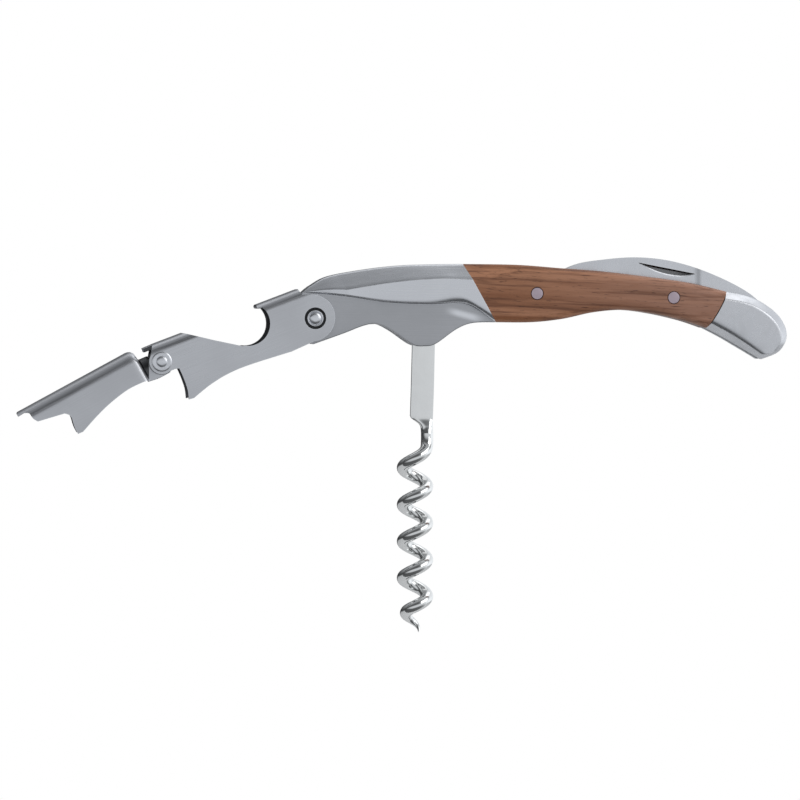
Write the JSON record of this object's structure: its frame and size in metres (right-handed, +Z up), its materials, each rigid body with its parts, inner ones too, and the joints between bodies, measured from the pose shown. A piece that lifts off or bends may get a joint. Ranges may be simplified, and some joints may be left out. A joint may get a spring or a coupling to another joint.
{
  "type": "waiters corkscrew",
  "caption": "Folding waiters corkscrew with wooden scales, steel bolsters, a double-hinged bottle lever, an open-helix worm and a foil blade.",
  "frame": {"origin": "the worm's point, on the axis of its helix, with the worm opened square to the handle", "axes": "+X along the handle from the lever towards the tail, +Y across the handle's thickness, +Z up the worm's axis towards the handle"},
  "size_m": [0.1887, 0.0136, 0.0918],
  "materials": {
    "liner_steel": "brushed",
    "bolster_steel": "satin",
    "polished_steel": "polished",
    "wood": "oiled satin, grain along the handle",
    "pin_steel": "ground flush",
    "spring_steel": "ground",
    "rivet_steel": "polished",
    "lever_steel": "brushed along its length",
    "worm_chrome": "bright",
    "blade_steel": "satin ground"
  },
  "bodies": {
    "handle": {"liner_left": "liner_steel", "liner_right": "liner_steel", "front_bolster_left": "bolster_steel", "front_bolster_right": "bolster_steel", "scale_left": "wood", "scale_right": "wood", "rear_bolster_left": "polished_steel", "rear_bolster_right": "polished_steel", "worm_pivot_pin": "pin_steel", "blade_pivot_pin": "pin_steel", "scale_pin_front": "pin_steel", "scale_pin_rear": "pin_steel", "back_spring_pin": "pin_steel", "nose_spacer": "liner_steel", "back_spring": "spring_steel", "lever_pivot_pin": "rivet_steel", "lever_bush_left": "rivet_steel", "lever_bush_right": "rivet_steel"},
    "lever": {"first_lever": "lever_steel", "boot_pivot_pin": "rivet_steel", "boot_washer_left": "rivet_steel", "boot_washer_right": "rivet_steel"},
    "boot": {"boot_lever": "lever_steel"},
    "worm": {"worm": "worm_chrome"},
    "blade": {"blade": "blade_steel"}
  },
  "joints": [
    {"name": "lever_fold", "type": "hinge", "parent": "handle", "child": "lever", "pos_m": [-0.025, 0, 0.0767], "axis": [0, -1, 0], "range_deg": [0, 148]},
    {"name": "boot_hinge", "type": "hinge", "parent": "lever", "child": "boot", "pos_m": [-0.0621, 0, 0.0663], "axis": [0, -1, 0], "range_deg": [-12, 9]},
    {"name": "worm_fold", "type": "hinge", "parent": "handle", "child": "worm", "pos_m": [0.0022, 0, 0.0738], "axis": [0, -1, 0], "range_deg": [0, 88]},
    {"name": "blade_open", "type": "hinge", "parent": "handle", "child": "blade", "pos_m": [0.0832, 0, 0.0763], "axis": [0, 1, 0], "range_deg": [0, 172]}
  ],
  "couplings": [
    {"joint": "worm_fold", "follows": "lever_fold", "ratio": 0.5945}
  ]
}
